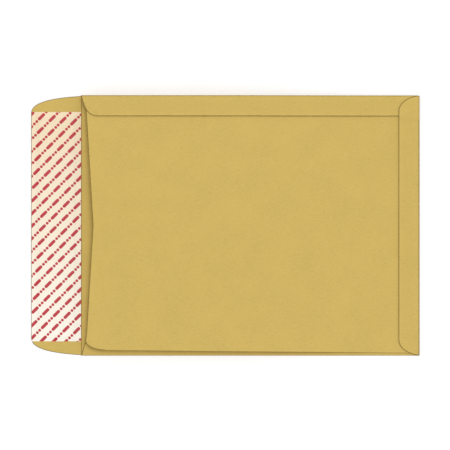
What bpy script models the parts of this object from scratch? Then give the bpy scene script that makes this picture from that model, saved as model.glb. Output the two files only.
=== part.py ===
# Gusseted pocket envelope, open, lying on its front panel with the closing flap spread out flat.
# X runs from the closing flap (-X) to the closed end (+X), Y across the pocket, +Z up out of the back.
# Metres. One folded sheet of kraft, the glue that holds it, and a peel strip over the flap's adhesive.

import math
from collections import namedtuple

import bmesh
import bpy
import numpy
from mathutils import Vector
from mathutils.geometry import interpolate_bezier

# Pocket
BODY_LENGTH = 0.3302            # mouth crease to closed end
BODY_WIDTH = 0.2540             # over the two long folds
GUSSET_HALF = 0.0190            # each half of a side gusset, so the pocket opens to 38 mm
GUSSET_SCOOP = 0.0060           # how far the far gusset's mouth edge is hollowed
GUSSET_END_RUN = 0.0140         # how far back the near gusset's mouth edge is cut at its valley

# Paper and what lies between its layers
PAPER = 0.00020                 # heavy kraft of about 140 g/m2
LAYER_GAP = 0.0002              # air between two layers pressed together
CLEARANCE = 0.0003              # between glue or peel strip and the paper it touches
GLUE_FILM = 0.0001

# Throat: the back panel's free edge at the mouth, a shallow V
THROAT_SIDE = 0.0050            # back from the mouth crease, at both ends of the V
THROAT_DIP = 0.0067             # further back at the middle
THROAT_HALF_SPAN = 0.1105
BACK_CORNER_RUN = 0.0186        # rounded corner of the back panel beside the near gusset
BACK_CORNER_DROP = 0.0091
BACK_INSET_MOUTH = 0.0057       # the near back fold lies inside the front fold by this much
BACK_INSET_END = 0.0022
BACK_EDGE_SETBACK = 0.0010      # the back panel stops this far inside the far fold

# Seam flap along the far side, over the back panel
SEAM_FLAP_WIDTH = 0.0202
SEAM_FLAP_END_RUN = 0.0161
SEAM_GLUE_WIDTH = 0.0120
SEAM_GLUE_MARGIN = 0.0030
SEAM_GLUE_START = 0.0220        # from the mouth crease
SEAM_GLUE_END = 0.0060          # from the closed end

# Flap folded over the closed end, outermost
END_FLAP_DEPTH = 0.0203
END_FLAP_SHOULDER = 0.0154
END_GLUE_WIDTH = 0.0100
END_GLUE_MARGIN = 0.0040
DRAPE_LEDGE = 0.0010            # the end flap stays high this far past the seam flap's edge
DRAPE_RUN = 0.0060              # and comes down over this much

# Closing flap, its adhesive and the peel strip
CLOSING_FLAP_DEPTH = 0.0490
CLOSING_FLAP_SHOULDER = 0.0163
CLOSING_FLAP_LIFT = math.radians(0.5)
LINER_LENGTH = 0.2240
LINER_PAPER = 0.00012
LINER_MARGIN = 0.0004           # from the flap's outer edge and from the mouth crease
LINER_OFFSET = -0.0011          # along Y, as stuck on
ADHESIVE_SIDE_INSET = 0.0091    # from the peel strip's long edges
ADHESIVE_END_INSET = 0.0060     # from its ends

# How far the empty pocket springs open
MOUTH_SPRING = 0.0100
SPRING_RUN = 0.1800             # from the pinched end to the full height
PINCH_MARGIN = 0.0040           # the layers stay pressed this far past the end flap
CROWN = 0.0030                  # bow of the back panel between its folds

# Shapes of the die-cut corners: the two inner points of a cubic, as shares of its run and drop
SHOULDER_FORM = ((0.06, 0.06), (1.00, 0.08))
END_SHOULDER_FORM = ((0.25, 0.05), (1.00, 0.27))
FLAP_END_FORM = ((0.12, 0.17), (0.18, 1.00))
BACK_CORNER_FORM = ((0.55, 0.00), (1.00, 0.45))

# Mesh fineness
CORNER_STEPS = 8
FOLD_STEPS = 4
END_FOLD_STEPS = 6
BODY_STEPS = 18
FLAP_STEPS = 3
PANEL_STEPS = 4
WELD = 1e-7

# Levels and radii that follow from the sizes above
PITCH = PAPER + LAYER_GAP
SEAM_RISE = PAPER + GLUE_FILM + 2.0 * CLEARANCE
FRONT_LEVEL = PAPER / 2.0
HALF_WIDTH = BODY_WIDTH / 2.0
FOLD_Y = HALF_WIDTH - PAPER / 2.0 - PITCH / 2.0
SEAM_FOLD_RADIUS = (PITCH + SEAM_RISE) / 2.0
SEAM_FOLD_Y = HALF_WIDTH - PAPER / 2.0 - SEAM_FOLD_RADIUS
BACK_EDGE_Y = SEAM_FOLD_Y - BACK_EDGE_SETBACK
SEAM_EDGE_Y = HALF_WIDTH - SEAM_FLAP_WIDTH
PINCH_X = BODY_LENGTH - END_FLAP_DEPTH - PINCH_MARGIN
END_BACK_LEVEL = FRONT_LEVEL + 3.0 * PITCH
END_STACK = 3.0 * PITCH + 2.0 * SEAM_RISE
INNER_END_X = BODY_LENGTH - PAPER / 2.0 - END_STACK / 2.0
FLAP_REACH = CLOSING_FLAP_DEPTH * math.cos(CLOSING_FLAP_LIFT) + PAPER / 2.0 * math.sin(CLOSING_FLAP_LIFT)
CENTRE_X = (BODY_LENGTH - FLAP_REACH) / 2.0

# One row of the sheet runs from the mouth to the closed end. It starts at x = mouth,
# and at(x) gives its y and z.
Row = namedtuple("Row", "mouth at")


def smooth(share):
    share = min(max(share, 0.0), 1.0)
    return share * share * (3.0 - 2.0 * share)


def mix(a, b, share):
    return a + (b - a) * share


def spring(x):
    """Height that the pocket has sprung open by at x."""
    return MOUTH_SPRING * smooth((PINCH_X - x) / SPRING_RUN)


def back_level(x, y):
    """Middle of the back panel's paper, bowed up between its folds."""
    bow = CROWN * smooth((PINCH_X - x) / SPRING_RUN) * math.cos(math.pi * y / BODY_WIDTH) ** 2
    return END_BACK_LEVEL + spring(x) + bow


def back_fold_y(x):
    """Place of the near back fold, which runs slightly askew to the front fold."""
    return -(HALF_WIDTH - PAPER / 2.0 - mix(BACK_INSET_MOUTH, BACK_INSET_END, x / BODY_LENGTH))


def throat(y):
    """Distance from the mouth crease to the back panel's free edge."""
    return THROAT_SIDE + THROAT_DIP * (1.0 - abs(y) / THROAT_HALF_SPAN)


def back_corner_start():
    """Distance from the mouth crease at which the near back fold begins."""
    return throat(back_fold_y(0.0)) + BACK_CORNER_RUN


def end_flap_level(y):
    """Middle of the end flap's paper, which steps down off the seam flap."""
    step = smooth((y - (SEAM_EDGE_Y - DRAPE_LEDGE - DRAPE_RUN)) / DRAPE_RUN)
    return END_BACK_LEVEL + SEAM_RISE * (1.0 + step)


def end_fold_radius(y):
    return (end_flap_level(y) - FRONT_LEVEL) / 2.0


def corner_curve(run, drop, form, steps):
    """Points (along, across) of a die-cut corner, from its start to run and drop away."""
    (near_run, near_drop), (far_run, far_drop) = form
    near = Vector((near_run * run, near_drop * drop, 0.0))
    far = Vector((far_run * run, far_drop * drop, 0.0))
    points = interpolate_bezier(Vector((0.0, 0.0, 0.0)), near, far, Vector((run, drop, 0.0)), steps + 1)
    return [(point.x, point.y) for point in points]


def depth_at(distance, depth, shoulder, form):
    """Depth of a flap with rounded shoulders, at a distance from the side it starts at."""
    along, across = zip(*corner_curve(depth, shoulder, form, 6 * CORNER_STEPS))
    return float(numpy.interp(distance, across, along))


def seam_flap_rows():
    curve = corner_curve(SEAM_FLAP_END_RUN, SEAM_FLAP_WIDTH, FLAP_END_FORM, CORNER_STEPS)
    rows = []
    for along, across in reversed(curve[1:]):
        y = mix(SEAM_FOLD_Y, SEAM_EDGE_Y, across / SEAM_FLAP_WIDTH)
        rows.append(Row(along, lambda x, y=y: (y, back_level(x, y) + SEAM_RISE)))
    return rows


def gusset_levels(x):
    """Middle of the paper at both ends of each gusset half, from the front fold up to the back one."""
    lift = spring(x)
    low = FRONT_LEVEL + PITCH
    valley = low + lift / 2.0
    return low, valley, valley + PITCH, valley + PITCH + lift / 2.0


def valley_y(x):
    return FOLD_Y - math.sqrt(GUSSET_HALF ** 2 - (spring(x) / 2.0) ** 2)


def fold_point(y, low, high, outward, share):
    """Point on a half-round fold from level low to level high."""
    angle = math.pi * (share - 0.5)
    radius = (high - low) / 2.0
    return y + outward * radius * math.cos(angle), (low + high) / 2.0 + radius * math.sin(angle)


def gusset_rows(side, back_y, back_top, mouths):
    """Rows from the front fold to the back fold. mouths gives the mouth edge of both halves."""
    front_half, back_half = mouths

    def front_fold(x, share):
        return fold_point(side * FOLD_Y, FRONT_LEVEL, gusset_levels(x)[0], side, share)

    def lower(x, share):
        low, valley, _, _ = gusset_levels(x)
        return side * mix(FOLD_Y, valley_y(x), share), mix(low, valley, share)

    def valley_fold(x, share):
        _, below, above, _ = gusset_levels(x)
        return fold_point(side * valley_y(x), below, above, -side, share)

    def upper(x, share):
        _, _, above, top = gusset_levels(x)
        return mix(side * valley_y(x), back_y(x), share), mix(above, top, share)

    def back_fold(x, share):
        return fold_point(back_y(x), gusset_levels(x)[3], back_top(x), side, share)

    shares = [step / FOLD_STEPS for step in range(1, FOLD_STEPS)]
    rows = [Row(front_half[0][0], lambda x, s=s: front_fold(x, s)) for s in shares]
    rows += [Row(mouth, lambda x, s=s: lower(x, s)) for mouth, s in front_half]
    rows += [Row(front_half[-1][0], lambda x, s=s: valley_fold(x, s)) for s in shares]
    rows += [Row(mouth, lambda x, s=s: upper(x, s)) for mouth, s in back_half]
    rows += [Row(back_half[-1][0], lambda x, s=s: back_fold(x, s)) for s in shares + [1.0]]
    return rows


def far_gusset_rows():
    shares = [step / PANEL_STEPS for step in range(PANEL_STEPS + 1)]
    front_half = [(GUSSET_SCOOP * math.sin(math.pi / 2.0 * share), share) for share in shares]
    back_half = [(GUSSET_SCOOP * math.cos(math.pi / 2.0 * share), share) for share in shares]
    rows = gusset_rows(
        1.0,
        lambda x: SEAM_FOLD_Y,
        lambda x: back_level(x, SEAM_FOLD_Y) + SEAM_RISE,
        (front_half, back_half),
    )
    return rows[::-1]


def near_gusset_rows():
    curve = corner_curve(GUSSET_END_RUN, GUSSET_HALF, FLAP_END_FORM, CORNER_STEPS)
    front_half = [(along, across / GUSSET_HALF) for along, across in curve]
    shares = [step / PANEL_STEPS for step in range(PANEL_STEPS + 1)]
    back_half = [(mix(GUSSET_END_RUN, back_corner_start(), share), share) for share in shares]
    return gusset_rows(
        -1.0,
        lambda x: back_fold_y(x) + PITCH / 2.0,
        lambda x: back_level(x, back_fold_y(x)),
        (front_half, back_half),
    )


def back_panel_rows():
    """From the near back fold, round the cut corner and over the middle to the far free edge."""
    span = -(back_fold_y(0.0) + PITCH / 2.0)
    corner = corner_curve(BACK_CORNER_RUN, BACK_CORNER_DROP, BACK_CORNER_FORM, CORNER_STEPS)
    rows = []

    def near_row(mouth, share):
        def at(x):
            y = mix(back_fold_y(x) + PITCH / 2.0, 0.0, share)
            return y, back_level(x, y)
        return Row(mouth, at)

    for along, across in corner[1:]:
        rows.append(near_row(back_corner_start() - along, across / span))
    for step in range(1, PANEL_STEPS + 1):
        y = mix(BACK_CORNER_DROP - span, 0.0, step / PANEL_STEPS)
        rows.append(near_row(throat(y), 1.0 + y / span))
    for y in far_panel_places():
        rows.append(Row(throat(y), lambda x, y=y: (y, back_level(x, y))))
    return rows


def far_panel_places():
    """Rows of the back panel past the middle, closer together under the seam flap."""
    places = [mix(0.0, SEAM_EDGE_Y, step / PANEL_STEPS) for step in range(1, PANEL_STEPS + 1)]
    places += [mix(SEAM_EDGE_Y, BACK_EDGE_Y, step / PANEL_STEPS) for step in range(1, PANEL_STEPS + 1)]
    return places


def front_places():
    """Rows of the front panel, close together where the flaps' shoulders and the drape need them."""
    curve = corner_curve(CLOSING_FLAP_DEPTH, CLOSING_FLAP_SHOULDER, SHOULDER_FORM, CORNER_STEPS)
    side = [FOLD_Y - across for _, across in curve]
    drape_start = SEAM_EDGE_Y - DRAPE_LEDGE
    drape = [drape_start - DRAPE_RUN * step / PANEL_STEPS for step in range(PANEL_STEPS + 1)]
    middle = [mix(drape[-1], -side[-1], step / PANEL_STEPS) for step in range(1, PANEL_STEPS)]
    return side + drape + middle + [-y for y in reversed(side)]


def closing_flap_point(distance, y, height):
    """Point on the closing flap, which lifts slightly from the mouth crease."""
    sine, cosine = math.sin(CLOSING_FLAP_LIFT), math.cos(CLOSING_FLAP_LIFT)
    return Vector((height * sine - distance * cosine, y, FRONT_LEVEL + height * cosine + distance * sine))


def end_flap_point(y, share, radius):
    """Point on the end fold for a share of 0 to 1, and on the end flap for 1 to 2."""
    start = BODY_LENGTH - PAPER / 2.0 - radius
    if share <= 1.0:
        angle = math.pi * (share - 0.5)
        height = radius * (1.0 + math.sin(angle))
        return Vector((start + radius * math.cos(angle), y, FRONT_LEVEL + height))
    flat_depth = END_FLAP_DEPTH - PAPER / 2.0 - radius
    depth = depth_at(FOLD_Y - abs(y), flat_depth, END_FLAP_SHOULDER, END_SHOULDER_FORM)
    return Vector((start - depth * (share - 1.0), y, end_flap_level(y)))


def grid_patch(bm, rows, columns, place):
    """A sheet of rows x columns faces, with each corner moved to place(row, share along)."""
    grid = bmesh.ops.create_grid(bm, x_segments=columns, y_segments=rows, size=0.5)
    for vert in grid["verts"]:
        vert.co = place(round((vert.co.y + 0.5) * rows), vert.co.x + 0.5)


def finish_sheet(name, bm, thickness, material):
    """Weld the patches, make an object of them and give the sheet its thickness."""
    bmesh.ops.remove_doubles(bm, verts=bm.verts, dist=WELD)
    bmesh.ops.recalc_face_normals(bm, faces=bm.faces)
    mesh = bpy.data.meshes.new(name)
    bm.to_mesh(mesh)
    bm.free()
    mesh.materials.append(material)
    sheet = bpy.data.objects.new(name, mesh)
    bpy.context.scene.collection.objects.link(sheet)
    solidify = sheet.modifiers.new("paper", "SOLIDIFY")
    solidify.thickness = thickness
    solidify.offset = 0.0
    solidify.use_even_offset = True
    return sheet


def make_envelope(material):
    """The folded blank: pocket, gussets, seam flap, end flap and closing flap in one sheet."""
    front = front_places()
    front_rows = [Row(0.0, lambda x, y=y: (y, FRONT_LEVEL)) for y in front]
    far_side = seam_flap_rows() + far_gusset_rows()
    rows = far_side + front_rows + near_gusset_rows() + back_panel_rows()
    first_front = len(far_side)

    def row_end(index):
        if first_front <= index < first_front + len(front):
            return BODY_LENGTH - PAPER / 2.0 - end_fold_radius(front[index - first_front])
        return INNER_END_X

    def body(index, share):
        row = rows[index]
        x = mix(row.mouth, row_end(index), share)
        y, z = row.at(x)
        return Vector((x, y, z))

    def closing_flap(index, share):
        y = front[index]
        depth = depth_at(FOLD_Y - abs(y), CLOSING_FLAP_DEPTH, CLOSING_FLAP_SHOULDER, SHOULDER_FORM)
        return closing_flap_point(depth * share, y, 0.0)

    def end_fold(index, share):
        y = front[index]
        return end_flap_point(y, share, end_fold_radius(y))

    def end_flap(index, share):
        y = front[index]
        return end_flap_point(y, 1.0 + share, end_fold_radius(y))

    bm = bmesh.new()
    grid_patch(bm, len(rows) - 1, BODY_STEPS, body)
    grid_patch(bm, len(front) - 1, FLAP_STEPS, closing_flap)
    grid_patch(bm, len(front) - 1, END_FOLD_STEPS, end_fold)
    grid_patch(bm, len(front) - 1, FLAP_STEPS, end_flap)
    return finish_sheet("envelope_blank", bm, PAPER, material)


def make_seam_glue(material):
    """Glue line between the back panel and the seam flap."""
    low_y = SEAM_EDGE_Y + SEAM_GLUE_MARGIN

    def place(index, share):
        x = mix(SEAM_GLUE_START, BODY_LENGTH - SEAM_GLUE_END, share)
        y = low_y + SEAM_GLUE_WIDTH * index / PANEL_STEPS
        return Vector((x, y, back_level(x, y) + SEAM_RISE / 2.0))

    bm = bmesh.new()
    grid_patch(bm, PANEL_STEPS, BODY_STEPS, place)
    return finish_sheet("seam_glue", bm, GLUE_FILM, material)


def make_end_glue(material):
    """Glue line between the end flap and what it covers, stepping up over the seam flap."""
    edge_x = BODY_LENGTH - END_FLAP_DEPTH + END_GLUE_MARGIN
    half_length = FOLD_Y - END_FLAP_SHOULDER
    places = [half_length] + [y for y in front_places() if abs(y) < half_length] + [-half_length]

    def place(index, share):
        y = places[index]
        return Vector((edge_x + END_GLUE_WIDTH * share, y, end_flap_level(y) - SEAM_RISE / 2.0))

    bm = bmesh.new()
    grid_patch(bm, len(places) - 1, 1, place)
    return finish_sheet("end_flap_glue", bm, GLUE_FILM, material)


def make_strip(name, inset, height, thickness, material):
    """Flat strip inset from the peel strip's edges, its middle at a height above the flap's own middle."""
    side_inset, end_inset = inset
    near = LINER_MARGIN + side_inset
    far = CLOSING_FLAP_DEPTH - near
    half_length = LINER_LENGTH / 2.0 - end_inset

    def place(index, share):
        y = LINER_OFFSET + mix(-half_length, half_length, index)
        return closing_flap_point(mix(near, far, share), y, height)

    bm = bmesh.new()
    grid_patch(bm, 1, 1, place)
    return finish_sheet(name, bm, thickness, material)


def make_adhesive(material):
    height = PAPER / 2.0 + CLEARANCE + GLUE_FILM / 2.0
    inset = (ADHESIVE_SIDE_INSET, ADHESIVE_END_INSET)
    return make_strip("flap_adhesive", inset, height, GLUE_FILM, material)


def make_liner(material):
    height = PAPER / 2.0 + 2.0 * CLEARANCE + GLUE_FILM + LINER_PAPER / 2.0
    return make_strip("release_liner", (0.0, 0.0), height, LINER_PAPER, material)


def make_material(name, colour, roughness):
    material = bpy.data.materials.new(name)
    material.use_nodes = True
    shader = material.node_tree.nodes["Principled BSDF"]
    shader.inputs["Base Color"].default_value = (*colour, 1.0)
    shader.inputs["Roughness"].default_value = roughness
    shader.inputs["Metallic"].default_value = 0.0
    return material


def main():
    for old in list(bpy.data.objects):
        bpy.data.objects.remove(old, do_unlink=True)
    kraft = make_material("manila_kraft", (0.638, 0.456, 0.127), 0.85)
    glue = make_material("dried_glue", (0.70, 0.62, 0.42), 0.45)
    adhesive = make_material("tacky_adhesive", (0.80, 0.74, 0.58), 0.30)
    liner = make_material("release_paper", (0.95, 0.85, 0.68), 0.40)

    frame = bpy.data.objects.new("envelope", None)
    bpy.context.scene.collection.objects.link(frame)
    frame.location.x = -CENTRE_X
    pieces = (make_envelope(kraft), make_seam_glue(glue), make_end_glue(glue),
              make_adhesive(adhesive), make_liner(liner))
    for piece in pieces:
        piece.parent = frame


main()
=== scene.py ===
import math
from collections import namedtuple

import bmesh
import bpy
import numpy
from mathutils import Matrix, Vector, noise
from mathutils.geometry import interpolate_bezier


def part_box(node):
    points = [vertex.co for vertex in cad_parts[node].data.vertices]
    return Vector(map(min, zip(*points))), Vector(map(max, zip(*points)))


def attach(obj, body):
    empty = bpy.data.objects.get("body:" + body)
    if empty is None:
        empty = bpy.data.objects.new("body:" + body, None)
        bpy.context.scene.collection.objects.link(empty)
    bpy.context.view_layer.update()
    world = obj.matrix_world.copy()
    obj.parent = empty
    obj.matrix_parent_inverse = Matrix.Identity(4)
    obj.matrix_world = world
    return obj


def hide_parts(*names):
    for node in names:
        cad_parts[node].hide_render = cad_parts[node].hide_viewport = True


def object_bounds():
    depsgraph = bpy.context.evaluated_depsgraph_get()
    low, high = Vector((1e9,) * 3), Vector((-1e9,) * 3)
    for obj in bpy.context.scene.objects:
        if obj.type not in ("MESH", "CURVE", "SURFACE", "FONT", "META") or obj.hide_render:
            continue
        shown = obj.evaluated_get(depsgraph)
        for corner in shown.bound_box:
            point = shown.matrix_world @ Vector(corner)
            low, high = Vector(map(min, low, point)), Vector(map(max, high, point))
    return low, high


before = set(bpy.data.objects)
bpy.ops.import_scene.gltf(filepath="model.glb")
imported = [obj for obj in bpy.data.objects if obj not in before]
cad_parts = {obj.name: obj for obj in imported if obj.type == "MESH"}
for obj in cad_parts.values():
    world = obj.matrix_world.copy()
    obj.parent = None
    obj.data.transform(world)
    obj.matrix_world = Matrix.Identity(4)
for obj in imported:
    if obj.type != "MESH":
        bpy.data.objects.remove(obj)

cadLow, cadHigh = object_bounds()
sheetLow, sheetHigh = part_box("envelope_blank")
linerLow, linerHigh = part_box("release_liner")
adhesiveLow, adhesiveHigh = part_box("flap_adhesive")
seamGlueLow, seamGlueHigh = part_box("seam_glue")
endGlueLow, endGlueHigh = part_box("end_flap_glue")
print("frame loaded:", len(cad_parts), "nodes")


# A node's output that can be used in sums
class Wire:
    def __init__(self, tree, socket):
        self.tree = tree
        self.socket = socket

    def maths(self, operation, left, right=0.0):
        return addNode(self.tree, "ShaderNodeMath", {"operation": operation}, {0: left, 1: right})

    def __add__(self, other):
        return self.maths("ADD", self, other)

    def __radd__(self, other):
        return self.maths("ADD", other, self)

    def __sub__(self, other):
        return self.maths("SUBTRACT", self, other)

    def __rsub__(self, other):
        return self.maths("SUBTRACT", other, self)

    def __mul__(self, other):
        return self.maths("MULTIPLY", self, other)

    def __rmul__(self, other):
        return self.maths("MULTIPLY", other, self)

    def __truediv__(self, other):
        return self.maths("DIVIDE", self, other)

    def __abs__(self):
        return self.maths("ABSOLUTE", self)

    def root(self):
        return self.maths("SQRT", self)

    def floor(self):
        return self.maths("FLOOR", self)

    def atLeast(self, other):
        return self.maths("MAXIMUM", self, other)


# Adds any node: settings first, then the values or links of its sockets
def addNode(tree, kind, settings=None, inputs=None, output=0):
    made = tree.nodes.new(kind)
    for name, value in (settings or {}).items():
        setattr(made, name, value)
    for name, value in (inputs or {}).items():
        if isinstance(value, Wire):
            tree.links.new(value.socket, made.inputs[name])
        else:
            made.inputs[name].default_value = value
    return Wire(tree, made.outputs[output])


# A material's Principled shader and the nodes that feed it
class Finish:
    def __init__(self, name, **sockets):
        self.material = bpy.data.materials.new(name)
        self.material.use_nodes = True
        self.tree = self.material.node_tree
        self.shader = self.tree.nodes["Principled BSDF"]
        for socket, value in sockets.items():
            self.shader.inputs[socket.replace("_", " ")].default_value = value

    def node(self, kind, settings=None, inputs=None, output=0):
        return addNode(self.tree, kind, settings, inputs, output)

    def feed(self, socket, wire):
        self.tree.links.new(wire.socket, self.shader.inputs[socket])

    def objectPlace(self):
        return self.node("ShaderNodeTexCoord", output="Object")

    def axis(self, place, number):
        return self.node("ShaderNodeSeparateXYZ", None, {0: place}, number)

    def stretched(self, place, scale, turn=0.0):
        inputs = {"Vector": place, "Scale": scale, "Rotation": (0.0, 0.0, turn)}
        return self.node("ShaderNodeMapping", None, inputs)

    def noise(self, place, scale=1.0, detail=3.0, roughness=0.55):
        inputs = {"Vector": place, "Scale": scale, "Detail": detail, "Roughness": roughness}
        return self.node("ShaderNodeTexNoise", None, inputs, "Fac")

    # Smooth change from first to last as value goes from low to high
    def between(self, value, low, high, first=0.0, last=1.0):
        inputs = {"Value": value, "From Min": low, "From Max": high, "To Min": first, "To Max": last}
        return self.node("ShaderNodeMapRange", {"interpolation_type": "SMOOTHSTEP"}, inputs)

    # 1 inside low to high and 0 outside, with soft ends
    def band(self, value, low, high, soft):
        risen = self.between(value, low - soft, low + soft)
        return risen * self.between(value, high - soft, high + soft, 1.0, 0.0)

    def blend(self, factor, first, last):
        colours = [colour if isinstance(colour, Wire) else (*colour, 1.0) for colour in (first, last)]
        inputs = {0: factor, 6: colours[0], 7: colours[1]}
        return self.node("ShaderNodeMix", {"data_type": "RGBA"}, inputs, 2)

    def bump(self, height, strength, distance):
        inputs = {"Height": height, "Strength": strength, "Distance": distance}
        self.feed("Normal", self.node("ShaderNodeBump", None, inputs))


# Kraft. The pattern lies on the flat blank, so it turns with the paper at every fold.

kraftLook = {
    "light": (0.700, 0.498, 0.130),         # linear colours, either side of the paper's own
    "dark": (0.576, 0.410, 0.108),
    "shiveDark": (0.300, 0.185, 0.045),
    "shivePale": (0.820, 0.670, 0.340),
    "sheen": 0.28,
    "roughness": (0.78, 0.92),
    "bump": (0.40, 0.00008),                # strength and distance
    "cloudScale": 38.0,                     # scales count per metre of the flat blank
    "grainScale": (180.0, 900.0, 1.0),
    "crossGrainScale": (1300.0, 420.0, 1.0),
    "crossGrainTurn": 0.5,
    "toneParts": (0.45, 0.85, 0.55),        # of the cloud, grain and cross grain in the colour
    "darkFibres": ((240.0, 520.0, 1.0), 0.3, 0.022, 0.56),      # scale, turn, width, least noise
    "paleFibres": ((330.0, 610.0, 1.0), 1.9, 0.026, 0.54),
    "fibrePlaceScale": (520.0, 760.0, 1.0),
    "fibreShows": 0.30,
    "darkSpecks": ((1100.0, 420.0, 1.0), 0.9, 0.60),            # scale, turn, how far they show
    "paleSpecks": ((430.0, 1200.0, 1.0), 0.35, 0.50),
    "speckNoise": (0.70, 0.78),
    "edge": (0.085, 0.048, 0.010),          # cut edge: painted shade, a dark brown line along each cut edge
    "edgeShadeBand": 0.0008,
    "edgeShadeShows": 0.95,
    "crease": (0.190, 0.110, 0.020),        # fold: painted shade along each fold, with some burnish
    "creaseBand": 0.0007,
    "creaseShadeShows": 0.80,
    "bendShare": 1.7,                       # on a wide bend it reaches this many halves of the bend
    "raggedness": 0.0004,
    "glueTint": (0.545, 0.375, 0.095),      # paper over the dried glue
    "glueShows": 0.16,
    "glueSoft": 0.0010,
    "cockleScale": (240.0, 60.0, 1.0),      # glued paper is slightly rippled
    "cockleHeight": 1.5,
}


# glueMarks: for each glue line under the paper, (start, end) along the blank and (low, high) round it
def kraftPaper(look, glueMarks):
    finish = Finish("manilaKraft", Specular_IOR_Level=look["sheen"])
    place = finish.node("ShaderNodeUVMap", {"uv_map": "blank"})
    cloud = finish.noise(place, look["cloudScale"], 2.0)
    grain = finish.noise(finish.stretched(place, look["grainScale"]), 1.0, 4.0, 0.65)
    crossPlace = finish.stretched(place, look["crossGrainScale"], look["crossGrainTurn"])
    crossGrain = finish.noise(crossPlace, 1.0, 3.0, 0.6)
    tone = 0.5
    for pattern, part in zip((cloud, grain, crossGrain), look["toneParts"]):
        tone = tone + (pattern - 0.5) * part
    colour = finish.blend(finish.between(tone, 0.0, 1.0), look["dark"], look["light"])

    # Short bent fibres lie where one noise crosses its middle and another is high
    def fibres(scale, turn, width, least):
        line = finish.noise(finish.stretched(place, scale, turn), 1.0, 0.5)
        where = finish.noise(finish.stretched(place, look["fibrePlaceScale"], turn + 0.7), 1.0, 1.0)
        drawn = finish.between(abs(line - 0.5), 0.0, width, 1.0, 0.0)
        return drawn * finish.between(where, least, least + 0.05)

    def specks(scale, turn, shows):
        spots = finish.noise(finish.stretched(place, scale, turn), 1.0, 1.0)
        return finish.between(spots, *look["speckNoise"], 0.0, shows)

    darkFibre = fibres(*look["darkFibres"])
    paleFibre = fibres(*look["paleFibres"])
    colour = finish.blend(darkFibre * look["fibreShows"], colour, look["shiveDark"])
    colour = finish.blend(paleFibre * look["fibreShows"], colour, look["shivePale"])
    colour = finish.blend(specks(*look["darkSpecks"]), colour, look["shiveDark"])
    colour = finish.blend(specks(*look["paleSpecks"]), colour, look["shivePale"])

    along = finish.axis(place, 0)
    girth = finish.axis(place, 1)
    soft = look["glueSoft"]
    glued = 0.0
    for (start, end), (low, high) in glueMarks:
        glued = glued + finish.band(along, start, end, soft) * finish.band(girth, low, high, soft)
    patchy = finish.between(cloud + grain, 0.6, 1.3)
    colour = finish.blend(glued * patchy * look["glueShows"], colour, look["glueTint"])

    ragged = (grain - 0.5) * look["raggedness"]
    edge = finish.node("ShaderNodeAttribute", {"attribute_name": "edgeDistance"}, output="Fac")
    fold = finish.node("ShaderNodeAttribute", {"attribute_name": "foldDistance"}, output="Fac")
    # Painted shade: a dark brown line along each cut edge, where the edge's shadow would fall
    edgeShadeMask = finish.between(edge + ragged, 0.0, look["edgeShadeBand"], look["edgeShadeShows"], 0.0)
    # Painted shade over the folds and bends, with some burnish, which also makes them a little smoother
    foldShadeAndBurnishMask = finish.between(fold + ragged, 0.0, look["creaseBand"], look["creaseShadeShows"], 0.0)
    colour = finish.blend(foldShadeAndBurnishMask, colour, look["crease"])
    finish.feed("Base Color", finish.blend(edgeShadeMask, colour, look["edge"]))
    finish.feed("Roughness", finish.between(grain - foldShadeAndBurnishMask * 0.4, 0.2, 0.8, *look["roughness"]))
    cockle = finish.noise(finish.stretched(place, look["cockleScale"]), 1.0, 1.0) * glued
    fibre = darkFibre * 0.3 + paleFibre * 0.3
    relief = grain + crossGrain * 0.7 + cloud * 0.5 + fibre + cockle * look["cockleHeight"]
    finish.bump(relief, *look["bump"])
    return finish.material


# Silicone-coated release paper with a plain dash-and-dot print

printLook = {
    "top": (0.878, 0.703, 0.456),           # cream at the seam side, paler towards the other: the pale end is a painted sheen
    "paintedSheenEnd": (0.982, 0.928, 0.820),
    "mottle": (0.800, 0.660, 0.480),
    "red": (0.500, 0.013, 0.030),
    "sheen": 0.36,
    "roughness": (0.38, 0.52),
    "coat": (0.04, 0.09),
    "coatRoughness": 0.30,
    "mottleScale": 260.0,
    "mottleShows": 0.10,
    "stuckShows": 0.035,                    # the adhesive shows faintly through
    "stuckSoft": 0.0006,
    "wearScale": 1500.0,
    "rippleScale": (14.0, 55.0, 14.0),
    "rippleHeight": 3.0,
    "bump": (0.16, 0.00006),                # strength and distance
    "turn": math.radians(-45.0),
    "rowPitch": 8.6,                        # from here down all lengths are in millimetres
    "period": 16.5,
    "stagger": 6.2,
    "barHalf": 2.9,
    "barRadius": 1.55,
    "dotPlaces": (6.6, -6.6),
    "dotRadius": 1.4,
    "soft": 0.12,
}


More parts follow.
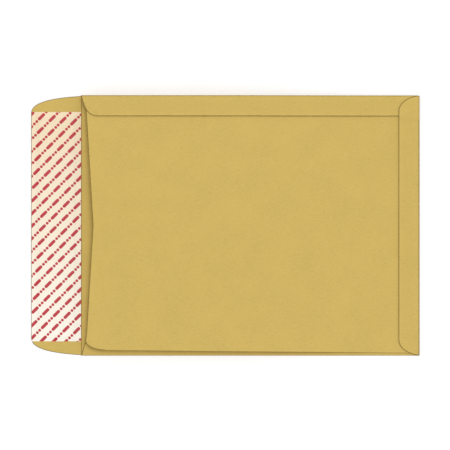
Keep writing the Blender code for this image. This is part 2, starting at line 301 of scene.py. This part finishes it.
def releasePaper(look):
    finish = Finish("releasePaper", Specular_IOR_Level=look["sheen"],
                    Coat_Roughness=look["coatRoughness"])
    place = finish.objectPlace()
    across = finish.axis(place, 0)
    down = finish.axis(place, 1)
    # Painted sheen: the strip pales from cream to near white away from the seam side
    paintedSheenShare = (linerHigh.y - down) / (linerHigh.y - linerLow.y)
    paper = finish.blend(paintedSheenShare, look["top"], look["paintedSheenEnd"])
    mottle = finish.noise(place, look["mottleScale"], 3.0)
    cloudy = finish.between(mottle, 0.35, 0.75, 0.0, look["mottleShows"])
    paper = finish.blend(cloudy, paper, look["mottle"])
    soft = look["stuckSoft"]
    stuckAcross = finish.band(across, adhesiveLow.x, adhesiveHigh.x, soft)
    stuck = stuckAcross * finish.band(down, adhesiveLow.y, adhesiveHigh.y, soft)
    paper = finish.blend(stuck * look["stuckShows"], paper, look["mottle"])

    millimetres = (1000.0, 1000.0, 1000.0)
    turned = finish.stretched(place, millimetres, look["turn"])
    run = finish.axis(turned, 0)
    rise = finish.axis(turned, 1)
    row = (rise / look["rowPitch"]).floor()
    fromRow = rise - (row + 0.5) * look["rowPitch"]
    shifted = run + row * look["stagger"]
    fromBar = shifted - ((shifted / look["period"]).floor() + 0.5) * look["period"]

    # A round-ended bar, or a dot where half is 0
    def mark(centre, half, radius):
        beyond = (abs(fromBar - centre) - half).atLeast(0.0)
        distance = (beyond * beyond + fromRow * fromRow).root() - radius
        return finish.between(distance, -look["soft"], look["soft"], 1.0, 0.0)

    ink = mark(0.0, look["barHalf"], look["barRadius"])
    for centre in look["dotPlaces"]:
        ink = ink.atLeast(mark(centre, 0.0, look["dotRadius"]))
    worn = finish.between(finish.noise(place, look["wearScale"], 2.0), 0.30, 0.50, 0.97, 1.0)
    finish.feed("Base Color", finish.blend(ink * worn, paper, look["red"]))
    finish.feed("Roughness", finish.between(mottle + ink * 0.3, 0.3, 1.0, *look["roughness"]))
    finish.feed("Coat Weight", finish.between(mottle, 0.3, 0.7, *look["coat"]))
    ripple = finish.noise(finish.stretched(place, look["rippleScale"]), 1.0, 1.0)
    finish.bump(ripple * look["rippleHeight"] + mottle, *look["bump"])
    return finish.material


# Dried or tacky glue, streaked along the envelope

glueLook = {
    "streakScale": (90.0, 600.0, 90.0),
    "bump": (0.3, 0.00004),                 # strength and distance
    "driedGlue": {"thin": (0.76, 0.67, 0.45), "thick": (0.68, 0.60, 0.40), "roughness": (0.45, 0.60)},
    "tackyAdhesive": {"thin": (0.88, 0.82, 0.66), "thick": (0.80, 0.74, 0.58), "roughness": (0.25, 0.40)},
}


def glueFilm(name):
    own = glueLook[name]
    finish = Finish(name)
    streak = finish.noise(finish.stretched(finish.objectPlace(), glueLook["streakScale"]))
    finish.feed("Base Color", finish.blend(finish.between(streak, 0.3, 0.7), own["thick"], own["thin"]))
    finish.feed("Roughness", finish.between(streak, 0.3, 0.7, *own["roughness"]))
    finish.bump(streak, *glueLook["bump"])
    return finish.material


# Folded sheet. A strand runs along the envelope from the mouth to the closed end: it starts
# at x = mouth, lies at girth round the flat blank, and at(x) gives its y and z.

Strand = namedtuple("Strand", "mouth girth at")

sheet = {
    "paper": 0.0002,
    "layerGap": 0.0002,
    "seamRise": 0.0009,             # seam flap's paper above the back panel's, over the glue
    "linerMargin": 0.0004,          # from the mouth crease to the peel strip
    "gussetHalf": 0.0190,
    "farScoop": 0.0060,
    "nearEndRun": 0.0140,
    "throatSide": 0.0050,
    "throatDip": 0.0067,
    "throatHalfSpan": 0.1105,
    "backCornerRun": 0.0186,
    "backCornerDrop": 0.0091,
    "backInsetMouth": 0.0057,
    "backInsetEnd": 0.0022,
    "backEdgeSetback": 0.0010,
    "seamFlapWidth": 0.0202,
    "seamFlapEndRun": 0.0161,
    "endFlapDepth": 0.0203,
    "endFlapShoulder": 0.0154,
    "drapeLedge": 0.0010,
    "drapeRun": 0.0060,
    "closingShoulder": 0.0163,
    "closingLift": math.radians(0.5),
    "mouthSpring": 0.0100,
    "springRun": 0.1800,
    "pinchMargin": 0.0040,
    "crown": 0.0030,
    "lipCurl": 0.0005,              # the throat's lip stands up by this
    "lipCurlRun": 0.0120,
    "lipEndRun": 0.0300,            # and dies out over this beside the seam flap
    "wave": 0.00035,                # slow unevenness of the back panel
    "waveLength": 0.0900,
    "waveSlice": 3.7,               # where the noise is read
    "waveEdge": 0.25,               # it dies out near the long folds, from this share of the bow
    "pressedRun": 0.0300,           # what is uneven or stands off dies out over this, by the closed end
    "gussetMark": 0.00012,          # the gusset's inner fold shows through the pinched back
    "gussetMarkWidth": 0.0016,
    "creaseRidge": 0.00006,         # pressed line of the mouth crease
    "creaseRidgeWidth": 0.0005,
    "creaseRidgeEnd": 0.0030,       # and dies out over this before each long fold
    "standOff": (0.00006, 0.00078),     # a glued flap's free edge rises by this, least and most
    "standOffLength": 0.0450,
    "standOffSlice": 8.2,
}

fineness = {
    "cornerSteps": 16,
    "foldSteps": 6,
    "endFoldSteps": 10,
    "bodySteps": 110,
    "gussetSteps": 4,
    "panelSteps": 20,
    "drapeSteps": 8,
    "closingFlapSteps": 10,
    "endFlapSteps": 6,
    "shoulderSamples": 120,
    "edgeOffsets": (0.0, 0.0003, 0.0007, 0.0014, 0.0028),
    "weld": 1e-7,
    "edgeReach": 5,         # distances to a cut edge are worked out as far as this many edge bands
    "sharpAngle": math.radians(50.0),
}

shoulderForm = ((0.06, 0.06), (1.00, 0.08))     # inner points of each corner's cubic, as shares
endShoulderForm = ((0.25, 0.05), (1.00, 0.27))
flapEndForm = ((0.12, 0.17), (0.18, 1.00))
backCornerForm = ((0.55, 0.00), (1.00, 0.45))

pitch = sheet["paper"] + sheet["layerGap"]
creaseX = linerHigh.x + sheet["linerMargin"]
bodyLength = sheetHigh.x - creaseX
halfWidth = sheetHigh.y
liftSine, liftCosine = math.sin(sheet["closingLift"]), math.cos(sheet["closingLift"])
closingDepth = (creaseX - sheetLow.x) / liftCosine
frontLevel = sheet["paper"] / 2
foldY = halfWidth - sheet["paper"] / 2 - pitch / 2
seamFoldY = halfWidth - sheet["paper"] / 2 - (pitch + sheet["seamRise"]) / 2
backEdgeY = seamFoldY - sheet["backEdgeSetback"]
seamEdgeY = halfWidth - sheet["seamFlapWidth"]
pinchX = bodyLength - sheet["endFlapDepth"] - sheet["pinchMargin"]
endBackLevel = frontLevel + 3 * pitch
innerEndX = bodyLength - sheet["paper"] / 2 - (3 * pitch + 2 * sheet["seamRise"]) / 2
seamMargin = seamGlueLow.y - seamEdgeY              # free paper from each flap's edge to its glue
endMargin = endGlueLow.x - (sheetHigh.x - sheet["endFlapDepth"])
seamGlueStart = seamGlueLow.x - creaseX


def smooth(share):
    share = min(max(share, 0.0), 1.0)
    return share * share * (3.0 - 2.0 * share)


def mix(first, last, share):
    return first + (last - first) * share


def hump(distance, width):
    return math.exp(-(distance / width) ** 2)


# Rise of a glued flap's free margin, uneven along it: 0 by the glue, where share is 0
def standOff(along, share):
    slow = noise.noise(Vector((along / sheet["standOffLength"], sheet["standOffSlice"], 0.0)))
    return mix(*sheet["standOff"], (1.0 + slow) / 2) * smooth(share)


# 0 at the pinched end, 1 where the pocket has sprung fully open
def opened(x):
    return smooth((pinchX - x) / sheet["springRun"])


# 0 at the pinched end, 1 where nothing presses the layers together
def loose(x):
    return smooth((pinchX - x) / sheet["pressedRun"])


# From the mouth crease to the back panel's free edge
def throat(y):
    return sheet["throatSide"] + sheet["throatDip"] * (1.0 - abs(y) / sheet["throatHalfSpan"])


# Middle of the back panel's paper: bowed, a little uneven, and marked by the gussets under it
def backLevel(x, y):
    inside = math.cos(math.pi * y / (2 * halfWidth)) ** 2
    bow = opened(x) * (sheet["mouthSpring"] + sheet["crown"] * inside)
    slow = noise.noise(Vector((x / sheet["waveLength"], y / sheet["waveLength"], sheet["waveSlice"])))
    wave = sheet["wave"] * slow * smooth(inside / sheet["waveEdge"]) * loose(x)
    clear = smooth((seamEdgeY - abs(y)) / sheet["lipEndRun"])
    lip = sheet["lipCurl"] * clear * (1.0 - smooth((x - throat(y)) / sheet["lipCurlRun"]))
    fromGusset = abs(y) - (foldY - sheet["gussetHalf"])
    mark = sheet["gussetMark"] * (1.0 - opened(x)) * hump(fromGusset, sheet["gussetMarkWidth"])
    return endBackLevel + bow + wave + lip + mark


def backFoldY(x):
    inset = mix(sheet["backInsetMouth"], sheet["backInsetEnd"], x / bodyLength)
    return -(halfWidth - sheet["paper"] / 2 - inset)


# Front panel and closing flap, by the distance from the mouth crease
def creasedLevel(distance, y):
    ridge = sheet["creaseRidge"] * smooth((foldY - abs(y)) / sheet["creaseRidgeEnd"])
    return frontLevel + ridge * hump(distance, sheet["creaseRidgeWidth"])


# The end flap steps down off the seam flap
def endFlapLevel(y):
    step = smooth((y - (seamEdgeY - sheet["drapeLedge"] - sheet["drapeRun"])) / sheet["drapeRun"])
    return endBackLevel + sheet["seamRise"] * (1.0 + step)


def endFoldRadius(y):
    return (endFlapLevel(y) - frontLevel) / 2


def endFoldStart(y):
    return bodyLength - sheet["paper"] / 2 - endFoldRadius(y)


# Points (along, across) of a die-cut corner
def cornerCurve(run, drop, form, steps=fineness["cornerSteps"]):
    inner = [Vector((along * run, across * drop, 0.0)) for along, across in form]
    points = interpolate_bezier(Vector((0.0, 0.0, 0.0)), *inner, Vector((run, drop, 0.0)), steps + 1)
    return [(point.x, point.y) for point in points]


def flapDepth(y, depth, shoulder, form):
    along, across = zip(*cornerCurve(depth, shoulder, form, fineness["shoulderSamples"]))
    return float(numpy.interp(foldY - abs(y), across, along))


# Even shares of a length, with a few closer ones beside both ends
def panelShares(length, steps):
    close = [offset / length for offset in fineness["edgeOffsets"]]
    even = [mix(close[-1], 1.0 - close[-1], step / steps) for step in range(1, steps)]
    return close + even + [1.0 - share for share in reversed(close)]


# Half-round fold from one level up to another
def foldPoint(y, low, high, outward, share):
    angle = math.pi * (share - 0.5)
    radius = (high - low) / 2
    return y + outward * radius * math.cos(angle), (low + high) / 2 + radius * math.sin(angle)


def gussetLevels(x):
    lift = sheet["mouthSpring"] * opened(x)
    low = frontLevel + pitch
    return low, low + lift / 2, low + lift / 2 + pitch, low + lift + pitch


def valleyY(x):
    return foldY - math.sqrt(sheet["gussetHalf"] ** 2 - (sheet["mouthSpring"] * opened(x) / 2) ** 2)


# (mouth, at) from the front fold up to the back fold, in order
def gussetStrands(side, backY, backTop, frontHalf, backHalf):
    def frontFold(x, share):
        return foldPoint(side * foldY, frontLevel, gussetLevels(x)[0], side, share)

    def lower(x, share):
        low, valley, _, _ = gussetLevels(x)
        return side * mix(foldY, valleyY(x), share), mix(low, valley, share)

    def valleyFold(x, share):
        _, below, above, _ = gussetLevels(x)
        return foldPoint(side * valleyY(x), below, above, -side, share)

    def upper(x, share):
        _, _, above, top = gussetLevels(x)
        return mix(side * valleyY(x), backY(x), share), mix(above, top, share)

    def backFold(x, share):
        return foldPoint(backY(x), gussetLevels(x)[3], backTop(x), side, share)

    shares = [step / fineness["foldSteps"] for step in range(1, fineness["foldSteps"])]
    made = [(frontHalf[0][0], lambda x, s=s: frontFold(x, s)) for s in shares]
    made += [(mouth, lambda x, s=s: lower(x, s)) for mouth, s in frontHalf]
    made += [(frontHalf[-1][0], lambda x, s=s: valleyFold(x, s)) for s in shares]
    made += [(mouth, lambda x, s=s: upper(x, s)) for mouth, s in backHalf]
    made += [(backHalf[-1][0], lambda x, s=s: backFold(x, s)) for s in shares + [1.0]]
    return made


# The seam flap stands off at its free edge and before its glue starts, but not under the end flap
def seamFlapLevel(x, y):
    atEdge = smooth(1.0 - (y - seamEdgeY) / seamMargin)
    beforeGlue = smooth(1.0 - x / seamGlueStart) * (seamFoldY - y) / sheet["seamFlapWidth"]
    free = 1.0 - (1.0 - atEdge) * (1.0 - beforeGlue)
    return backLevel(x, y) + sheet["seamRise"] + standOff(x, free) * loose(x)


# Seam flap from its free edge, then the far gusset down to the front panel
def farSideStrands():
    made = []
    curve = cornerCurve(sheet["seamFlapEndRun"], sheet["seamFlapWidth"], flapEndForm)
    for along, across in reversed(curve[1:]):
        y = mix(seamFoldY, seamEdgeY, across / sheet["seamFlapWidth"])
        made.append((along, lambda x, y=y: (y, seamFlapLevel(x, y))))
    shares = panelShares(sheet["gussetHalf"], fineness["gussetSteps"])
    frontHalf = [(sheet["farScoop"] * math.sin(math.pi / 2 * share), share) for share in shares]
    backHalf = [(sheet["farScoop"] * math.cos(math.pi / 2 * share), share) for share in shares]

    def backTop(x):
        return backLevel(x, seamFoldY) + sheet["seamRise"]

    return made + gussetStrands(1.0, lambda x: seamFoldY, backTop, frontHalf, backHalf)[::-1]


# Near gusset up from the front panel, then the back panel over to its far free edge
def nearSideStrands():
    curve = cornerCurve(sheet["nearEndRun"], sheet["gussetHalf"], flapEndForm)
    frontHalf = [(along, across / sheet["gussetHalf"]) for along, across in curve]
    cornerStart = throat(backFoldY(0.0)) + sheet["backCornerRun"]
    shares = panelShares(sheet["gussetHalf"], fineness["gussetSteps"])
    backHalf = [(mix(sheet["nearEndRun"], cornerStart, share), share) for share in shares]
    made = gussetStrands(-1.0, lambda x: backFoldY(x) + pitch / 2, lambda x: backLevel(x, backFoldY(x)),
                         frontHalf, backHalf)

    def nearAt(x, share):
        y = mix(backFoldY(x) + pitch / 2, 0.0, share)
        return y, backLevel(x, y)

    span = -(backFoldY(0.0) + pitch / 2)
    corner = cornerCurve(sheet["backCornerRun"], sheet["backCornerDrop"], backCornerForm)
    for along, across in corner[1:]:
        made.append((cornerStart - along, lambda x, s=across / span: nearAt(x, s)))
    steps = fineness["panelSteps"]
    for step in range(1, steps + 1):
        y = mix(sheet["backCornerDrop"] - span, 0.0, step / steps)
        made.append((throat(y), lambda x, s=1.0 + y / span: nearAt(x, s)))
    for step in range(1, steps + 1):
        y = mix(0.0, backEdgeY, step / steps)
        made.append((throat(y), lambda x, y=y: (y, backLevel(x, y))))
    return made


# Rows of the front panel and of both flaps that grow from it, from the far side to the near one
def frontPlaces():
    curve = cornerCurve(closingDepth, sheet["closingShoulder"], shoulderForm)
    side = [foldY - across for _, across in curve]
    drapeStart = seamEdgeY - sheet["drapeLedge"]
    steps = fineness["drapeSteps"]
    drape = [drapeStart - sheet["drapeRun"] * step / steps for step in range(steps + 1)]
    steps = fineness["panelSteps"]
    middle = [mix(drape[-1], -side[-1], step / steps) for step in range(1, steps)]
    return side + drape + middle + [-y for y in reversed(side)]


# All strands in order round the blank, each with its distance round it, the number of the front
# panel's first strand, and each long fold's distance round the blank with its radius
def blankStrands(front):
    farSide = farSideStrands()
    middle = [(0.0, lambda x, y=y: (y, creasedLevel(x, y))) for y in front]
    plain = farSide + middle + nearSideStrands()
    strands = []
    girth = 0.0
    before = None
    for mouth, at in plain:
        here = Vector(at(bodyLength / 2))
        girth += (here - before).length if before else 0.0
        strands.append(Strand(mouth, girth, at))
        before = here

    fold = fineness["foldSteps"]
    half = len(panelShares(sheet["gussetHalf"], fineness["gussetSteps"])) - 1
    farFront = len(farSide) - fold // 2
    farValley = farFront - fold - half
    farBack = farValley - fold - half
    nearFront = len(farSide) + len(front) - 1 + fold // 2
    nearValley = nearFront + fold + fineness["cornerSteps"]
    nearBack = nearValley + fold + half
    tightFolds = (farValley, farFront, nearFront, nearValley, nearBack)
    folds = [(strands[farBack].girth, (pitch + sheet["seamRise"]) / 2)]
    folds += [(strands[row].girth, pitch / 2) for row in tightFolds]
    return strands, len(farSide), folds


front = frontPlaces()
strands, firstFront, folds = blankStrands(front)
print("blank laid out:", len(strands), "strands")


# Where the two glue lines lie on the blank
def gluePlaces():
    unfolded = 2 * (creaseX + endFoldStart(0.0)) + math.pi * endFoldRadius(0.0) - creaseX
    farFold = strands[firstFront].girth + foldY
    seam = ((seamGlueLow.x - creaseX, seamGlueHigh.x - creaseX),
            (seamGlueLow.y - seamEdgeY, seamGlueHigh.y - seamEdgeY))
    end = ((unfolded - endGlueHigh.x, unfolded - endGlueLow.x),
           (farFold - endGlueHigh.y, farFold - endGlueLow.y))
    print("glue on the blank:", seam, end)
    return seam, end


# A sheet of faces. place(row, column) gives each corner's spot, and its place on the flat blank.
def patch(bm, flat, rows, columns, place):
    made = bmesh.ops.create_grid(bm, x_segments=columns, y_segments=rows, size=0.5)
    for vert in made["verts"]:
        row, column = round((vert.co.y + 0.5) * rows), round((vert.co.x + 0.5) * columns)
        vert.co, along, girth = place(row, column)
        vert[flat] = (along, girth, 0.0)


# Distance of each point of the blank to the nearest cut edge, as far as the edge's look reaches
def edgeDistances(points, rim):
    limit = fineness["edgeReach"] * kraftLook["edgeShadeBand"]
    nearest = numpy.full(len(points), limit)
    for first, last in rim:
        run = last - first
        close = (numpy.abs(points - (first + last) / 2) < numpy.abs(run) / 2 + limit).all(axis=1)
        offset = points[close] - first
        share = numpy.clip(offset @ run / float(run @ run), 0.0, 1.0)
        gap = numpy.linalg.norm(offset - share[:, None] * run, axis=1)
        nearest[close] = numpy.minimum(nearest[close], gap)
    return nearest


# Distance from a bend's middle. It grows slower on a wide bend, so the whole bend gets painted shade and
# some burnish.
def bendDistance(offset, radius):
    reach = kraftLook["bendShare"] * radius * math.pi / 2
    return numpy.abs(offset) * min(1.0, kraftLook["creaseBand"] / reach)


# Distance of each point of the blank to the nearest fold
def foldDistances(points):
    along, girth = points.T
    endRadius = endFoldRadius(0.0)
    endMiddle = endFoldStart(0.0) + endRadius * math.pi / 2
    nearest = numpy.minimum(numpy.abs(along), bendDistance(along - endMiddle, endRadius))
    onBody = (along > 0.0) & (along < endMiddle)
    for fold, radius in folds:
        gap = numpy.where(onBody, bendDistance(girth - fold, radius), nearest)
        nearest = numpy.minimum(nearest, gap)
    return nearest


def foldedEnvelope():
    offsets = fineness["edgeOffsets"]
    flapShares = panelShares(closingDepth, fineness["closingFlapSteps"])
    endShares = panelShares(sheet["endFlapDepth"], fineness["endFlapSteps"])

    def body(row, column):
        strand = strands[row]
        onFront = firstFront <= row < firstFront + len(front)
        end = endFoldStart(front[row - firstFront]) if onFront else innerEndX
        if column < len(offsets):
            x = strand.mouth + offsets[column]
        else:
            done = (column - len(offsets) + 1) / (fineness["bodySteps"] - len(offsets) + 1)
            x = mix(strand.mouth + offsets[-1], end, done)
        return (creaseX + x, *strand.at(x)), x, strand.girth

    def closingFlap(row, column):
        y = front[row]
        depth = flapDepth(y, closingDepth, sheet["closingShoulder"], shoulderForm) * flapShares[column]
        spot = (creaseX - depth * liftCosine, y, creasedLevel(depth, y) + depth * liftSine)
        return spot, -depth, strands[firstFront + row].girth

    def endFold(row, column):
        y = front[row]
        radius = endFoldRadius(y)
        angle = math.pi * (column / fineness["endFoldSteps"] - 0.5)
        spot = (creaseX + endFoldStart(y) + radius * math.cos(angle), y,
                frontLevel + radius * (1.0 + math.sin(angle)))
        return spot, endFoldStart(y) + radius * (angle + math.pi / 2), strands[firstFront + row].girth

    def endFlap(row, column):
        y = front[row]
        radius = endFoldRadius(y)
        reach = sheet["endFlapDepth"] - sheet["paper"] / 2 - radius
        depth = flapDepth(y, reach, sheet["endFlapShoulder"], endShoulderForm) * endShares[column]
        raised = standOff(y, 1.0 - (reach - depth) / endMargin)
        spot = (creaseX + endFoldStart(y) - depth, y, endFlapLevel(y) + raised)
        return spot, endFoldStart(y) + radius * math.pi + depth, strands[firstFront + row].girth

    bm = bmesh.new()
    flat = bm.verts.layers.float_vector.new("flat")
    patch(bm, flat, len(strands) - 1, fineness["bodySteps"], body)
    patch(bm, flat, len(front) - 1, len(flapShares) - 1, closingFlap)
    patch(bm, flat, len(front) - 1, fineness["endFoldSteps"], endFold)
    patch(bm, flat, len(front) - 1, len(endShares) - 1, endFlap)
    bmesh.ops.remove_doubles(bm, verts=bm.verts, dist=fineness["weld"])
    bmesh.ops.recalc_face_normals(bm, faces=bm.faces)

    points = numpy.array([vert[flat][:2] for vert in bm.verts])
    rimEdges = [edge for edge in bm.edges if edge.is_boundary]
    rim = [numpy.array([vert[flat][:2] for vert in edge.verts]) for edge in rimEdges]
    edgeGaps = edgeDistances(points, rim)
    foldGaps = foldDistances(points)
    edgeLayer = bm.verts.layers.float.new("edgeDistance")
    foldLayer = bm.verts.layers.float.new("foldDistance")
    for vert, edgeGap, foldGap in zip(bm.verts, edgeGaps, foldGaps):
        vert[edgeLayer] = float(edgeGap)
        vert[foldLayer] = float(foldGap)
    blank = bm.loops.layers.uv.new("blank")
    for face in bm.faces:
        for loop in face.loops:
            loop[blank].uv = loop.vert[flat][:2]
    return asPaper("foldedEnvelope", bm, sheet["paper"])


# Object of a sheet's middle surface, given its thickness, with square cut edges
def asPaper(name, bm, thickness):
    for face in bm.faces:
        face.smooth = True
    mesh = bpy.data.meshes.new(name)
    bm.to_mesh(mesh)
    bm.free()
    piece = bpy.data.objects.new(name, mesh)
    bpy.context.scene.collection.objects.link(piece)
    solid = piece.modifiers.new("thickness", "SOLIDIFY")
    solid.thickness = thickness
    solid.offset = 0.0
    solid.use_even_offset = True
    with bpy.context.temp_override(object=piece, active_object=piece, selected_objects=[piece]):
        bpy.ops.object.modifier_apply(modifier=solid.name)
    piece.data.set_sharp_from_angle(angle=fineness["sharpAngle"])
    print(name, "made,", sum(len(face.vertices) - 2 for face in piece.data.polygons), "triangles")
    return piece


# Peel strip: lies over the adhesive and comes down to the flap round it

liner = {
    "paper": 0.00012,
    "overAdhesive": 0.00076,        # middle of its paper above the flap's face
    "overFlap": 0.00016,
    "ledge": 0.0008,                # stays level this far past the adhesive
    "droopRun": 0.0045,
    "rowsAcross": 40,
    "rowsAlong": 150,
}


def peelStrip():
    bm = bmesh.new()
    columns, rows = liner["rowsAcross"], liner["rowsAlong"]
    made = bmesh.ops.create_grid(bm, x_segments=columns, y_segments=rows, size=0.5)
    for vert in made["verts"]:
        x = mix(linerLow.x, linerHigh.x, vert.co.x + 0.5)
        y = mix(linerLow.y, linerHigh.y, vert.co.y + 0.5)
        outside = max(adhesiveLow.x - x, x - adhesiveHigh.x, adhesiveLow.y - y, y - adhesiveHigh.y)
        droop = smooth((outside - liner["ledge"]) / liner["droopRun"])
        height = sheet["paper"] / 2 + mix(liner["overAdhesive"], liner["overFlap"], droop)
        distance = creaseX - x
        vert.co = (creaseX - distance * liftCosine + height * liftSine, y,
                   frontLevel + distance * liftSine + height * liftCosine)
    return asPaper("peelStrip", bm, liner["paper"])


# Floor, lights and camera

stage = {
    "floorSize": 16.0,
    "floorDrop": 0.0002,
    "floorColour": (0.90, 0.90, 0.90, 1.0),
    "floorLift": 0.16,                  # the camera sees the floor white, and its shadows stay
    "worldStrength": 0.60,
    "keyStrength": 1.28,
    "keySpread": math.radians(25.0),
    "keyFrom": (0.10, 0.20, 1.0),
    "keyHeight": 2.0,                   # where the lamp is drawn: a sun's place changes nothing
    "lens": 400.0,
    "sensor": 36.0,
    "frameWidth": 0.4396,               # what the picture spans at the object
    "nudge": (-0.00037, 0.00054),       # of the camera from the object's middle
    "clipShare": 4.0,                   # the camera sees this many times as far as the object
}


def makeFloor():
    bm = bmesh.new()
    bmesh.ops.create_grid(bm, x_segments=1, y_segments=1, size=stage["floorSize"] / 2)
    bmesh.ops.translate(bm, verts=bm.verts, vec=(0.0, 0.0, -stage["floorDrop"]))
    mesh = bpy.data.meshes.new("paleFloor")
    bm.to_mesh(mesh)
    bm.free()
    floor = bpy.data.objects.new("paleFloor", mesh)
    bpy.context.scene.collection.objects.link(floor)
    finish = Finish("paleFloor", Base_Color=stage["floorColour"], Roughness=0.9,
                    Specular_IOR_Level=0.1, Emission_Strength=stage["floorLift"])
    seen = finish.node("ShaderNodeLightPath", output="Is Camera Ray")
    mirrored = finish.node("ShaderNodeLightPath", output="Is Glossy Ray")
    finish.feed("Emission Color", finish.blend(seen.atLeast(mirrored), (0.0, 0.0, 0.0), (1.0, 1.0, 1.0)))
    mesh.materials.append(finish.material)


def makeLights():
    world = bpy.data.worlds.new("softRoom")
    world.use_nodes = True
    bpy.context.scene.world = world
    background = world.node_tree.nodes["Background"]
    background.inputs["Color"].default_value = (1.0, 1.0, 1.0, 1.0)
    seen = addNode(world.node_tree, "ShaderNodeLightPath", output="Is Camera Ray")
    strength = seen * (1.0 - stage["worldStrength"]) + stage["worldStrength"]
    world.node_tree.links.new(strength.socket, background.inputs["Strength"])

    light = bpy.data.lights.new("softKey", "SUN")
    light.angle = stage["keySpread"]
    light.energy = stage["keyStrength"]
    lamp = bpy.data.objects.new("softKey", light)
    lamp.location = Vector(stage["keyFrom"]) * stage["keyHeight"]
    lamp.rotation_euler = Vector(stage["keyFrom"]).to_track_quat("Z", "Y").to_euler()
    bpy.context.scene.collection.objects.link(lamp)


def makeCamera():
    data = bpy.data.cameras.new("overhead")
    data.lens = stage["lens"]
    data.sensor_width = stage["sensor"]
    camera = bpy.data.objects.new("overhead", data)
    middle = (cadLow + cadHigh) / 2
    distance = stage["frameWidth"] * stage["lens"] / stage["sensor"]
    camera.location = (middle.x + stage["nudge"][0], middle.y + stage["nudge"][1], distance)
    data.clip_end = stage["clipShare"] * distance
    bpy.context.scene.collection.objects.link(camera)
    bpy.context.scene.camera = camera


def coat(piece, material):
    piece.data.materials.clear()
    piece.data.materials.append(material)


# Dresses a piece and lets it stand for its CAD node
def dress(piece, material, node):
    coat(piece, material)
    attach(piece, "root")
    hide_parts(node)


dress(foldedEnvelope(), kraftPaper(kraftLook, gluePlaces()), "envelope_blank")
dress(peelStrip(), releasePaper(printLook), "release_liner")

driedGlue = glueFilm("driedGlue")
coat(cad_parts["seam_glue"], driedGlue)
coat(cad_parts["end_flap_glue"], driedGlue)
coat(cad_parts["flap_adhesive"], glueFilm("tackyAdhesive"))
print("glue and adhesive coated")

makeFloor()
makeLights()
makeCamera()
bpy.context.scene.view_settings.view_transform = "Standard"
print("stage, lights and camera set")
